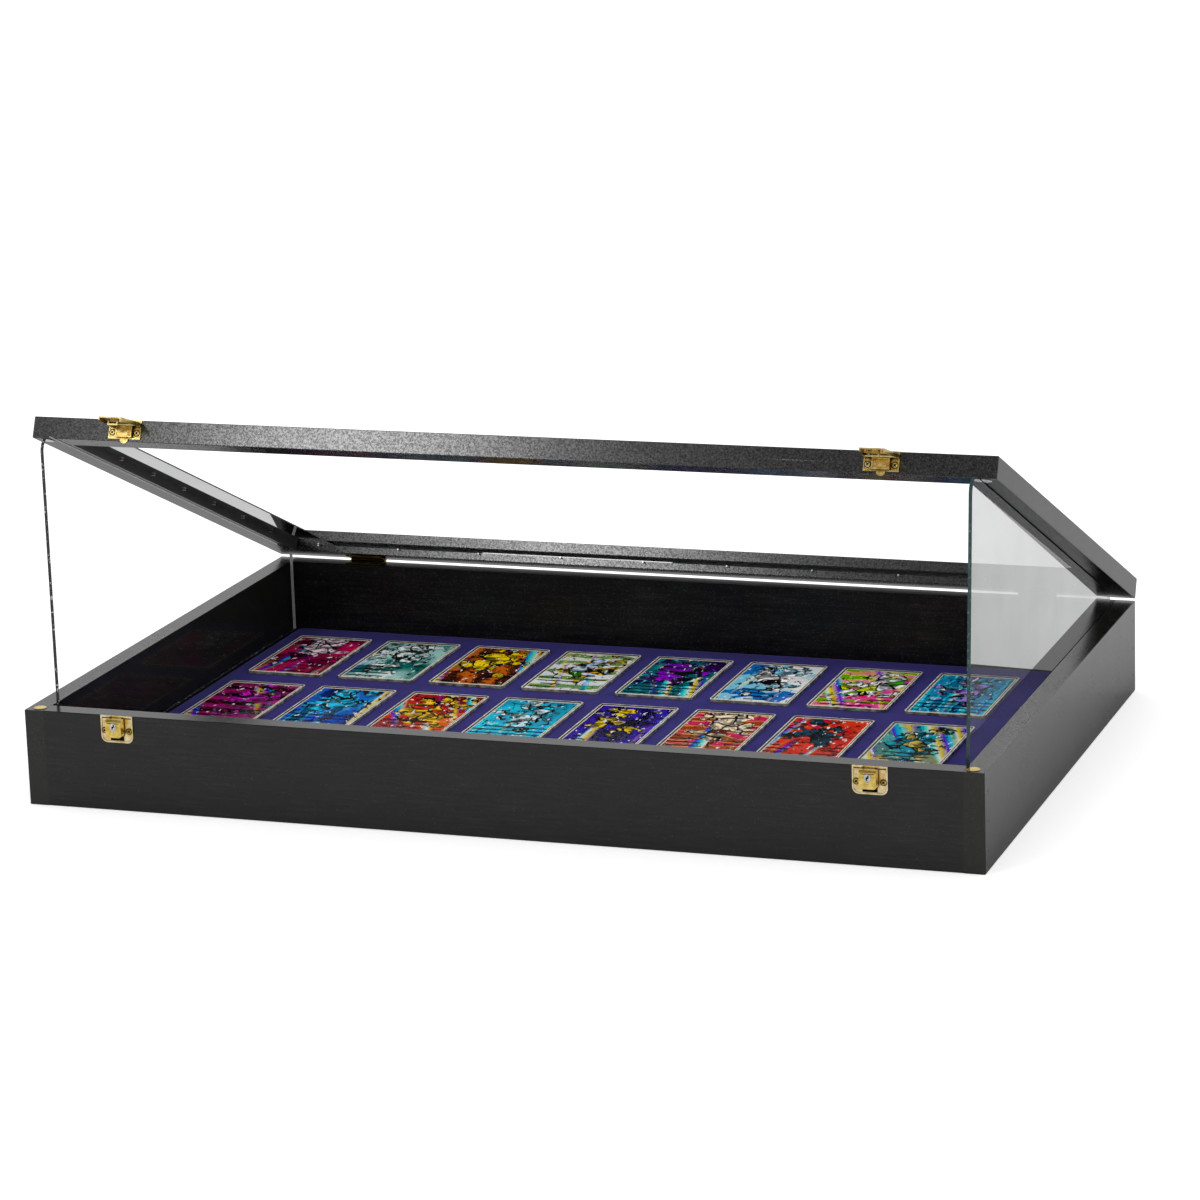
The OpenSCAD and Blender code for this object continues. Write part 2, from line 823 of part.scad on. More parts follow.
module catch_screw_holes() {
  for (side = [-1, 1], sx = [-1, 1])
    at_catch(side) translate([sx * plate_screw_x, 0, lid_z + catch_screw_z]) pan_screw_hole();
}

module lid_front_rail() {
  color("#38383a")
    lid_pose() difference() {
      front_rail_blank();
      glazing_pin_set(run_gap);
      catch_screw_holes();
    }
}

module lid_rear_rail() {
  color("#38383a")
    lid_pose() difference() {
      mirror([0, 1, 0]) front_rail_blank();
      glazing_pin_set(run_gap);
      leaf_screws(true, run_gap);
      leaf_recesses(true);
    }
}

module lid_left_rail() {
  color("#38383a")
    lid_pose() difference() {
      side_rail_blank();
      glazing_pin_set(run_gap);
    }
}

module lid_right_rail() {
  color("#38383a")
    lid_pose() difference() {
      mirror([1, 0, 0]) side_rail_blank();
      glazing_pin_set(run_gap);
    }
}

module lid_glass() {
  let (x = half_w - rabbet_in - seat_gap, y = half_d - rabbet_in - seat_gap)
    color("#cfe0e0", 0.35)
      lid_pose() translate([-x, -y, lip_z - glass_t]) cube([2 * x, 2 * y, glass_t]);
}

module glazing_pins() {
  color("#b9b9bd") lid_pose() glazing_pin_set(0);
}

module lid_discs() {
  color("#c8c8cc")
    lid_pose()
      for (side = [-1, 1])
        translate([side * (half_w - disc_x), -half_d + disc_y, lid_z]) mirror([0, 0, 1]) disc();
}

// Catch plate on the front of the lid, with a raised centre, a tongue and two lugs for the flap pin
module catch_plate() {
  let (low = lid_z + catch_z, high = flap_z - flap_knuckle_r - fit_gap) {
    difference() {
      union() {
        along_y(plate_t) union() {
          translate([-lock_w / 2, low]) square([lock_w, lid_top - low]);
          translate([0, low]) circle(tongue_r);
        }
        translate([-raised_w / 2, -raised_d, low + raised_z]) cube([raised_w, raised_d, high - low - raised_z]);
        for (side = [-1, 1])
          translate([side * (lock_w - lug_w) / 2 - lug_w / 2, 0, 0]) {
            translate([0, -flap_pin_y, flap_z]) rotate([0, 90, 0]) cylinder(h = lug_w, r = flap_knuckle_r);
            translate([0, -flap_pin_y, flap_z - flap_knuckle_r])
              cube([lug_w, flap_pin_y, 2 * flap_knuckle_r - flap_under]);
          }
      }
      for (side = [-1, 1])
        translate([side > 0 ? raised_w / 2 : -lock_w / 2 + plate_rim, -plate_t - cut, low + plate_rim])
          cube([(lock_w - raised_w) / 2 - plate_rim, plate_t - plate_web_t + cut, high - low - plate_rim]);
      translate([-raised_w / 2 + plate_rim, -raised_d - cut, low + raised_z + plate_rim])
        cube([raised_w - 2 * plate_rim, raised_recess + cut, high - low - raised_z - 2 * plate_rim]);
      for (sx = [-1, 1]) translate([sx * plate_screw_x, 0, lid_z + catch_screw_z]) pan_screw_hole();
      translate([-lock_w / 2 - cut, -flap_pin_y, flap_z])
        rotate([0, 90, 0]) cylinder(h = lock_w + 2 * cut, r = flap_pin_r + run_gap);
    }
  }
}

module left_catch_plate() {
  color("#dcbc66") lid_pose() at_catch(-1) catch_plate();
}

module right_catch_plate() {
  color("#dcbc66") lid_pose() at_catch(1) catch_plate();
}

module catch_screws() {
  color("#c9a855")
    lid_pose()
      for (side = [-1, 1], sx = [-1, 1])
        at_catch(side) translate([sx * plate_screw_x, -plate_web_t, lid_z + catch_screw_z]) pan_screw();
}

module flap_pins() {
  color("#c9a855")
    lid_pose()
      for (side = [-1, 1])
        at_catch(side)
          translate([-lock_w / 2, -flap_pin_y, flap_z]) rotate([0, 90, 0]) cylinder(h = lock_w, r = flap_pin_r);
}

// Plan of the flap: full width near the pin, narrow at the free end, drawn in from the sides by a margin
module flap_outline(margin) {
  polygon([
    [-lock_w / 2 + margin, -flap_root], [-flap_tip_w / 2 + margin, -flap_l],
    [flap_tip_w / 2 - margin, -flap_l], [lock_w / 2 - margin, -flap_root]
  ]);
}

// Flap swung out from the lid, with flanges along its sides and a staple loop underneath
module flap() {
  let (knuckle_w = lock_w - 2 * lug_w - 2 * fit_gap)
    translate([0, -flap_pin_y, flap_z]) rotate([flap_droop, 0, 0])
      difference() {
        union() {
          translate([0, 0, flap_under]) linear_extrude(flap_t) flap_outline(0);
          translate([0, 0, flap_under - flange_h])
            linear_extrude(flange_h)
              difference() {
                flap_outline(0);
                flap_outline(flap_t);
              }
          translate([-knuckle_w / 2, 0, 0]) rotate([0, 90, 0]) cylinder(h = knuckle_w, r = flap_knuckle_r);
          translate([-knuckle_w / 2, -flap_root - cut, flap_under]) cube([knuckle_w, flap_root + cut, flap_t]);
          translate([-staple_w / 2, -staple_y - staple_t, flap_under - staple_h])
            difference() {
              cube([staple_w, staple_t, staple_h + flap_t / 2]);
              translate([staple_t, -cut, staple_t])
                cube([staple_w - 2 * staple_t, staple_t + 2 * cut, staple_h - staple_t]);
            }
        }
        translate([-knuckle_w / 2 - cut, 0, 0])
          rotate([0, 90, 0]) cylinder(h = knuckle_w + 2 * cut, r = flap_pin_r + run_gap);
      }
}

module left_flap() {
  color("#e6c979") lid_pose() at_catch(-1) flap();
}

module right_flap() {
  color("#e6c979") lid_pose() at_catch(1) flap();
}

// Outline of the side glass in Y and Z: it stands on the ledge and follows the open lid at a distance
module pane_outline(below_lid) {
  let (
    slope = below_lid / cos(lid_open),
    front_y = -pane_end + pane_front_r,
    front_z = lid_under(front_y) - slope - pane_front_r / cos(lid_open),
    rear_y = pane_end - pane_rear_r,
    rear_z = lid_under(rear_y) - slope - pane_rear_r / cos(lid_open)
  )
    polygon(concat(
      [[pane_end, pane_foot], [-pane_end, pane_foot]],
      arc([front_y, front_z], pane_front_r, 180, 90 - lid_open),
      arc([rear_y, rear_z], pane_rear_r, 90 - lid_open, 0)
    ));
}

module left_side_glass() {
  color("#cfe0e0", 0.35) translate([-pane_in - pane_t, 0, 0]) along_x(pane_t) pane_outline(fit_gap);
}

// The right side glass leans out until the lid's disc rests on it
module right_side_glass() {
  color("#cfe0e0", 0.35)
    translate([pane_in, 0, pane_foot])
      rotate([0, right_lean, 0])
        translate([0, 0, -pane_foot])
          along_x(pane_t) pane_outline(disc_t + fit_gap);
}

front_wall();
rear_wall();
left_wall();
right_wall();
bottom_panel();
liner_board();
velvet_cover();
left_ledge();
right_ledge();
corner_brads();
wall_discs();
rear_holders();
middle_holders();
front_holders();
rear_cards();
middle_cards();
front_cards();
rear_covers();
middle_covers();
front_covers();
box_hinge_leaves();
hinge_pins();
box_leaf_screws();
left_lock_plate();
right_lock_plate();
lock_screws();
left_lock_slider();
right_lock_slider();
left_key_cylinder();
right_key_cylinder();
lid_front_rail();
lid_rear_rail();
lid_left_rail();
lid_right_rail();
lid_glass();
glazing_pins();
lid_discs();
lid_hinge_leaves();
lid_leaf_screws();
left_catch_plate();
right_catch_plate();
catch_screws();
flap_pins();
left_flap();
right_flap();
left_side_glass();
right_side_glass();
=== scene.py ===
import math
from functools import partial

import bmesh
import bpy
from mathutils import Euler, Matrix, Vector


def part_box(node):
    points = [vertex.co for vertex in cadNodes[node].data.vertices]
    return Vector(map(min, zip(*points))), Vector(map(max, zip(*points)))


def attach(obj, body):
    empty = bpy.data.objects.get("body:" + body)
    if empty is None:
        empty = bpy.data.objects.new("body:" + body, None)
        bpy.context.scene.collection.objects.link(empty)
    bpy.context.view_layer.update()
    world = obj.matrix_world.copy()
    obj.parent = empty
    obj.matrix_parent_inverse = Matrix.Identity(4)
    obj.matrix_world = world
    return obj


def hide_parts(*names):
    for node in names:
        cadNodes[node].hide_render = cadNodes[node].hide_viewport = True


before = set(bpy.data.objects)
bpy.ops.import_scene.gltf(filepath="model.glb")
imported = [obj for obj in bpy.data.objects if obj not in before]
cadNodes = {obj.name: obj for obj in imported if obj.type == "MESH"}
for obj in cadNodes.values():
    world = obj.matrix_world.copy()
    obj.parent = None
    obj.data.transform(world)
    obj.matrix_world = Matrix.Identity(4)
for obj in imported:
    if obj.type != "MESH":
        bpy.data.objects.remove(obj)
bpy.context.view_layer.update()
print("frame loaded:", len(cadNodes), "nodes")


def linear(hexColour):  # sRGB hex to a linear RGBA tuple
    channels = [int(hexColour[i:i + 2], 16) / 255 for i in (1, 3, 5)]
    return (*[c / 12.92 if c <= 0.04045 else ((c + 0.055) / 1.055) ** 2.4 for c in channels], 1.0)


def perMetre(millimetres):  # noise scale whose features are about this size
    return 1000 / millimetres


# adds a node; inputs are values or sockets, in order or by name or number, and it gives back one output
def addNode(tree, kind, inputs=(), output=0, **settings):
    node = tree.nodes.new("ShaderNode" + kind)
    stops = settings.pop("stops", [])  # a colour ramp's positions and colours
    for name, value in settings.items():
        setattr(node, name, value)
    for number, (position, colour) in enumerate(stops):
        elements = node.color_ramp.elements
        element = elements[number] if number < 2 else elements.new(1.0)
        element.position, element.color = position, linear(colour)
    for key, value in inputs.items() if isinstance(inputs, dict) else enumerate(inputs):
        if isinstance(value, bpy.types.NodeSocket):
            tree.links.new(value, node.inputs[key])
        else:
            node.inputs[key].default_value = value
    return node.outputs[output]


def newMaterial(name, settings):  # gives the material, its own addNode and its shader
    material = bpy.data.materials.new(name)
    material.use_nodes = True
    shader = material.node_tree.nodes["Principled BSDF"]
    for key, value in settings.items():
        shader.inputs[key].default_value = value
    return material, partial(addNode, material.node_tree), shader


def feed(shader, sockets):  # links sockets to a shader's inputs
    for name, socket in sockets.items():
        shader.id_data.links.new(socket, shader.inputs[name])


def dress(material, *names):  # gives CAD nodes a material
    for name in names:
        mesh = cadNodes[name].data
        mesh.materials.clear()
        mesh.materials.append(material)


def mirrorShare(add, strength):  # how much of a clear sheet's front face is mirror: more at a glancing angle
    back = add("NewGeometry", output="Backfacing")
    front = add("Math", [1.0, back], operation="SUBTRACT")
    facing = add("Math", [add("Fresnel", {"IOR": 1.5}), front], operation="MULTIPLY")
    return add("Math", [facing, strength], operation="MULTIPLY", use_clamp=True)


# camera at the photograph's place: the box seen from the front right, a little above
cameraLook = {"place": (1.31154, -3.71352, 1.14215), "turn": (75.7473, 1.9899, 19.7445), "lens": 129.779,
              "shift": (0.05311, 0.00138)}
cameraData = bpy.data.cameras.new("photoCamera")
cameraData.lens = cameraLook["lens"]
cameraData.sensor_width = 36
cameraData.shift_x, cameraData.shift_y = cameraLook["shift"]
camera = bpy.data.objects.new("photoCamera", cameraData)
camera.location = cameraLook["place"]
camera.rotation_euler = Euler([math.radians(a) for a in cameraLook["turn"]])
bpy.context.collection.objects.link(camera)
bpy.context.scene.camera = camera

# plain studio: an even white surround, dimmer overhead in reflections, and one soft box at the upper left front
studio = {"surround": 0.85, "overhead": 0.22, "dimBetween": (0.25, 0.5), "floorSize": 60.0, "floorDrop": 0.0003,
          "floorLift": 0.42, "lampPlace": (-1.45, -2.96, 2.14), "lampAim": (-0.22, -0.25, 0.33), "lampSize": 0.36,
          "lampWatts": 8.0}
world = bpy.data.worlds.new("whiteSurround")
bpy.context.scene.world = world
world.use_nodes = True
add = partial(addNode, world.node_tree)
rays = add("LightPath").node.outputs
seen = add("Math", [rays["Is Camera Ray"], rays["Is Glossy Ray"]], operation="MAXIMUM")
seen = add("Math", [seen, rays["Is Transmission Ray"]], operation="MAXIMUM")
level = add("MapRange", [seen, 0, 1, studio["surround"], 1.0])
height = add("SeparateXYZ", [add("TexCoord", output="Object")], "Z")
above = add("MapRange", [height, *studio["dimBetween"], 1, studio["overhead"]])
dim = add("Mix", {0: rays["Is Glossy Ray"], 2: 1.0, 3: above})
background = world.node_tree.nodes["Background"]
background.inputs["Color"].default_value = (1, 1, 1, 1)
feed(background, {"Strength": add("Math", [level, dim], operation="MULTIPLY")})

lampData = bpy.data.lights.new("softLamp", "AREA")
lampData.size = studio["lampSize"]
lampData.energy = studio["lampWatts"]
lamp = bpy.data.objects.new("softLamp", lampData)
lamp.location = studio["lampPlace"]
lamp.rotation_euler = (Vector(studio["lampAim"]) - lamp.location).to_track_quat("-Z", "Y").to_euler()
lamp.visible_camera = False
bpy.context.collection.objects.link(lamp)

# floor: plain white to the eye, and it keeps the shadow
floorMesh = bmesh.new()
bmesh.ops.create_grid(floorMesh, x_segments=1, y_segments=1, size=studio["floorSize"] / 2)
bmesh.ops.translate(floorMesh, verts=floorMesh.verts, vec=(0, 0, -studio["floorDrop"]))
floorData = bpy.data.meshes.new("floor")
floorMesh.to_mesh(floorData)
floor = bpy.data.objects.new("floor", floorData)
bpy.context.collection.objects.link(floor)
material, add, shader = newMaterial("paleFloor", {"Roughness": 1.0, "Specular IOR Level": 0.0,
                                                  "Emission Color": (1, 1, 1, 1)})
rays = add("LightPath").node.outputs
seen = add("Math", [rays["Is Camera Ray"], rays["Is Transmission Ray"]], operation="MAXIMUM")
feed(shader, {"Base Color": add("Mix", {0: seen, 6: (0.8, 0.8, 0.8, 1), 7: (1, 1, 1, 1)}, 2, data_type="RGBA"),
              "Emission Strength": add("MapRange", [seen, 0, 1, 0, studio["floorLift"]])})
floorData.materials.append(material)
print("camera, lamp and floor placed")

# black enamel brushed over board: near black, so that what shows is its gloss, with dust specks and brush marks
plainPaint = {
    "colour": "#0b0b0c", "ior": 1.43, "rough": (0.22, 0.26),
    "grain": (0.05, 1, 1), "turn": (0, 0, 0), "brush": 0.03,  # direction and strength of the brush marks
    "peel": (2.6, 0.2, 0.03),  # size of the orange peel in mm, its strength and its depth in mm
    "mottle": 0.0, "dust": 0.15, "dustFrom": 0.68,
    "gloss": 0.5,
    "foot": 1.0, "head": 1.0, "top": 1.1, "under": 1.0, "inside": 1.0,  # each side's share of the gloss, which paints that side's reflection lighter or darker
    "dull": 0.0, "paintedSheen": 0.0,  # how much rougher the inner side is, and how much painted sheen greys it
}
paints = {
    "blackEnamelFront": {"nodes": ["front_wall"], "gloss": 0.6, "brush": 0.06},
    "blackEnamelSides": {"nodes": ["left_wall", "right_wall"], "colour": "#141310", "ior": 1.5, "rough": (0.24, 0.28),
                         "grain": (1, 0.05, 1), "turn": (32, 0, 0), "brush": 0.04, "peel": (2.6, 0.1, 0.03),
                         "foot": 0.35, "head": 2.3, "inside": 0.3, "dull": 0.35},
    "blackEnamelRear": {"nodes": ["rear_wall"], "colour": "#060607", "rough": (0.3, 0.36), "dust": 0.22,
                        "dustFrom": 0.6, "top": 0.25, "gloss": 0.3},
    "blackEnamelLidLeft": {"nodes": ["lid_left_rail"], "colour": "#1a1a1b", "grain": (1, 0.03, 0.5), "brush": 0.12,
                           "mottle": 0.25, "gloss": 0.3, "under": 0.85, "inside": 2.0, "dull": 0.4, "paintedSheen": 0.55},
    "blackEnamelLidRight": {"nodes": ["lid_right_rail"], "colour": "#0e0e0f", "grain": (1, 0.03, 0.5), "brush": 0.08,
                            "under": 0.12},
    "blackEnamelLidFront": {"nodes": ["lid_front_rail", "lid_rear_rail"], "colour": "#0e0e0f", "rough": (0.19, 0.21),
                            "grain": (0.5, 1, 1), "peel": (2.0, 0.3, 0.03), "mottle": 0.45, "dust": 0.25,
                            "dustFrom": 0.5, "gloss": 0.95, "under": 0.25},
    "blackEnamelLedges": {"nodes": ["left_ledge", "right_ledge"], "colour": "#080809", "rough": (0.35, 0.5),
                          "grain": (1, 0.05, 1), "top": 0.3},
}
# pale grey of the dust specks, and of the sheen painted on inner faces
dustAndSheenGrey = linear("#5c5a56")
for name, changes in paints.items():
    look = plainPaint | changes
    material, add, shader = newMaterial(name, {"IOR": look["ior"], "Specular IOR Level": look["gloss"]})
    point = add("TexCoord", output="Object")
    turned = add("Mapping", {"Vector": point, "Rotation": [math.radians(a) for a in look["turn"]]})
    grain = add("Mapping", {"Vector": turned, "Scale": look["grain"]})
    brush = add("TexNoise", {"Vector": grain, "Scale": perMetre(2.0), "Detail": 4, "Roughness": 0.6})
    cloud = add("TexNoise", {"Vector": point, "Scale": perMetre(70), "Detail": 3, "Roughness": 0.6})
    dust = add("TexNoise", {"Vector": point, "Scale": perMetre(1.6), "Detail": 1})
    speck = add("MapRange", [dust, look["dustFrom"], look["dustFrom"] + 0.12, 0, look["dust"]])
    streak = add("MapRange", [brush, 0.45, 0.8, 0, 0.25])
    alongX, _, upZ = add("SeparateXYZ", [add("TexCoord", output="Normal")]).node.outputs
    placeX, _, placeZ = add("SeparateXYZ", [point]).node.outputs
    # inward is 1 on the faces that look into the box from its left and right
    inward = add("Math", [add("Math", [alongX, placeX], operation="MULTIPLY"), -0.1], operation="LESS_THAN")
    tone = add("Math", [streak, cloud, speck], operation="MULTIPLY_ADD", use_clamp=True)
    # painted sheen: inner faces are greyed towards the pale grey, standing in for a reflection
    tone = add("Math", [inward, look["paintedSheen"], tone], operation="MULTIPLY_ADD", use_clamp=True)
    colour = add("Mix", {0: tone, 6: linear(look["colour"]), 7: dustAndSheenGrey}, 2, data_type="RGBA")
    level = add("Math", [upZ], operation="ABSOLUTE")
    still = add("Math", [level, inward], operation="MAXIMUM")  # no relief on flat tops and inner faces
    relief = add("Math", [1.0, still], operation="SUBTRACT")
    both = add("Math", [brush, cloud], operation="ADD")
    rough = add("MapRange", [both, 0.7, 1.3, *look["rough"]])
    rough = add("Math", [inward, look["dull"], rough], operation="MULTIPLY_ADD")
    paintedReflectionByHeight = add("MapRange", [placeZ, 0.01, 0.088, look["foot"], look["head"]])  # painted reflection: darker low down and lighter high up, from the foot's share to the head's
    sideways = add("MapRange", [add("Math", [alongX], operation="ABSOLUTE"), 0.6, 0.8, 0, 1])
    sheen = add("Mix", {0: sideways, 2: 1.0, 3: paintedReflectionByHeight})
    sheen = add("Mix", {0: add("MapRange", [upZ, 0.6, 0.8, 0, 1]), 2: sheen, 3: look["top"]})
    sheen = add("Mix", {0: add("MapRange", [upZ, -0.6, -0.8, 0, 1]), 2: sheen, 3: look["under"]})
    sheen = add("Mix", {0: inward, 2: sheen, 3: look["inside"]})
    mottle = add("TexNoise", {"Vector": point, "Scale": perMetre(1.8), "Detail": 2, "Roughness": 0.6})
    least, most = (1 - look["mottle"]) * look["gloss"], (1 + look["mottle"]) * look["gloss"]
    gloss = add("Math", [sheen, add("MapRange", [mottle, 0.38, 0.62, least, most])], operation="MULTIPLY")
    size, strength, depth = look["peel"]
    peel = add("TexNoise", {"Vector": point, "Scale": perMetre(size), "Detail": 2, "Roughness": 0.55})
    peel = add("Math", [peel, relief], operation="MULTIPLY")
    marks = add("Math", [brush, relief], operation="MULTIPLY")
    skin = add("Bump", {"Height": peel, "Strength": strength, "Distance": depth / 1000})
    skin = add("Bump", {"Height": marks, "Strength": look["brush"], "Distance": 0.00008, "Normal": skin})
    feed(shader, {"Base Color": colour, "Roughness": rough, "Specular IOR Level": gloss, "Normal": skin})
    dress(material, *look["nodes"])

# violet velvet glued to a board: short pile, a soft sheen at grazing angles and faint brushed patches
velvetLook = {"colour": "#2d2868", "pale": "#3b3580", "pileMm": 1.6, "patchMm": 45, "waveMm": 0.12,
              "thick": 0.0008, "tuckDeep": 0.0007, "tuckWide": 0.004}
material, add, shader = newMaterial("violetVelvet", {"Roughness": 0.9, "Specular IOR Level": 0.15, "Sheen Weight": 0.35,
                                                     "Sheen Roughness": 0.35, "Sheen Tint": linear("#7a74c8")})
point = add("TexCoord", output="Object")
pile = add("TexNoise", {"Vector": point, "Scale": perMetre(velvetLook["pileMm"]), "Detail": 3, "Roughness": 0.7})
patch = add("TexNoise", {"Vector": point, "Scale": perMetre(velvetLook["patchMm"]), "Detail": 3, "Roughness": 0.6,
                         "Distortion": 0.4})
tone = add("MapRange", [add("Mix", {0: 0.45, 2: pile, 3: patch}), 0.35, 0.65, 0, 1])
colour = add("Mix", {0: tone, 6: linear(velvetLook["colour"]), 7: linear(velvetLook["pale"])}, 2, data_type="RGBA")
feed(shader, {"Base Color": colour, "Normal": add("Bump", {"Height": pile, "Strength": 0.5, "Distance": 0.0004})})

low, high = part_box("velvet_cover")
velvetMesh = bmesh.new()
bmesh.ops.create_grid(velvetMesh, x_segments=140, y_segments=94, size=0.5)
bmesh.ops.scale(velvetMesh, verts=velvetMesh.verts, vec=(high[0] - low[0], high[1] - low[1], 1))
for vert in velvetMesh.verts:
    x, y = vert.co.x, vert.co.y
    edge = min(high[0] - abs(x), high[1] - abs(y))
    wave = math.sin(x * 21 + math.sin(y * 17) * 1.7) * math.sin(y * 26 + math.sin(x * 13) * 1.3)
    tucked = max(0, 1 - edge / velvetLook["tuckWide"]) ** 2  # pressed down along the walls
    vert.co.z = high[2] + (wave - 1) * velvetLook["waveMm"] / 1000 - velvetLook["tuckDeep"] * tucked
bmesh.ops.solidify(velvetMesh, geom=velvetMesh.faces[:], thickness=velvetLook["thick"])
velvetData = bpy.data.meshes.new("velvet_lining")
bmesh.ops.recalc_face_normals(velvetMesh, faces=velvetMesh.faces)
velvetMesh.to_mesh(velvetData)
velvet = bpy.data.objects.new("velvet_lining", velvetData)
bpy.context.collection.objects.link(velvet)
velvetData.materials.append(material)
velvetData.shade_smooth()
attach(velvet, "box")
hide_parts("velvet_cover")
print("velvet laid")

# printed foil cards, each with its own generic design
cardLook = {
    "pitchMm": 96.6, "thick": 0.0011, "cornerMm": 2.3,
    "rimMm": 0.3, "lineMm": 0.8, "paleMm": 1.1,  # border, from the edge inwards
    "motifMm": 34, "cellMm": 32, "fieldMm": 60, "warpMm": 30, "streakMm": 20,
    "figureMm": 22, "patchMm": 18, "outlineMm": 1.8, "glintMm": 4.5,  # glints as coarse as they need to show
    "barPitchMm": 11.0, "barMm": 3.6, "barsBelowMm": 52.0,
}
cardDesigns = {  # motif, seed, and the colours: ground, main, deep, light, second
    "rear": [
        ("shards", 7, ["#a01048", "#c81e5a", "#4a0a2a", "#f4e0ea", "#7a1040"]),
        ("swirl", 11, ["#0e6a62", "#b8dcd8", "#0a3a3a", "#e8f4f2", "#f2f4f2"]),
        ("bands", 5, ["#5a1e06", "#a84a10", "#1a0a06", "#f0d020", "#d86a1a"]),
        ("rays", 9, ["#f0e8d0", "#c8d8e8", "#4a8a3a", "#f0c020", "#e8f0f8"]),
        ("swirl", 13, ["#2a1050", "#0e6a7a", "#06060e", "#9a4ad0", "#1aa0a0"]),
        ("shards", 3, ["#f4f6f8", "#a8dcf0", "#2a6ac0", "#f8f8fa", "#ffffff"]),
        ("rays", 8, ["#ff3a8a", "#e0f04a", "#4ab03a", "#fafafa", "#f8a0c8"]),
        ("bands", 6, ["#4ab4dc", "#88d0ec", "#1a5a8a", "#b8a8e8", "#2a8ab8"]),
    ],
    "middle": [
        ("rays", 4, ["#5a0a3a", "#8a0f4a", "#2a0618", "#d870c8", "#b01a7a"]),
        ("bands", 10, ["#0a3ab0", "#10b8e8", "#061a5a", "#5ad0f8", "#0a60d8"]),
        ("shards", 12, ["#d01810", "#e83018", "#8a0a06", "#f8c83a", "#f07020"]),
        ("swirl", 6, ["#1a9ac0", "#7ad8f0", "#0a5a8a", "#e0f8ff", "#30b8d8"]),
        ("bands", 2, ["#1c0a7a", "#2a10a8", "#0a0430", "#e8c83a", "#3a18b8"]),
        ("rays", 14, ["#e8a080", "#f0c8a0", "#8a3a2a", "#f8e8d0", "#d85a8a"]),
        ("swirl", 15, ["#d81a10", "#f03a1a", "#8a0a0a", "#2a4a5a", "#e8501a"]),
        ("shards", 16, ["#a89048", "#c8b878", "#1a7a8a", "#20a0b8", "#4ab0b8"]),
    ],
    "front": [
        ("bands", 17, ["#3a0e5a", "#b01a7a", "#160628", "#e04ab0", "#5a2a8a"]),
        ("swirl", 18, ["#1a6ac8", "#2ac0d8", "#0a2a5a", "#9ae0f0", "#e8f8ff"]),
        ("shards", 19, ["#c81a1a", "#f07a2a", "#f8d84a", "#5a0a0a", "#fff0c8"]),
        ("rays", 20, ["#1a9aa8", "#a8d8ec", "#0e5a6a", "#e8f4f8", "#4ac0d0"]),
        ("swirl", 21, ["#3a1a98", "#d8a83a", "#1a0a4a", "#6a4ad8", "#f0d88a"]),
        ("rays", 22, ["#7a2ab8", "#f0982a", "#2ac0a8", "#e84a8a", "#3a1068"]),
        ("bands", 23, ["#d01a1e", "#0e4a4a", "#3a0a2a", "#f04a3a", "#180a0a"]),
        ("shards", 24, ["#6a6a2a", "#a8a04a", "#1a7a78", "#d8d0a0", "#3a3a12"]),
    ],
}


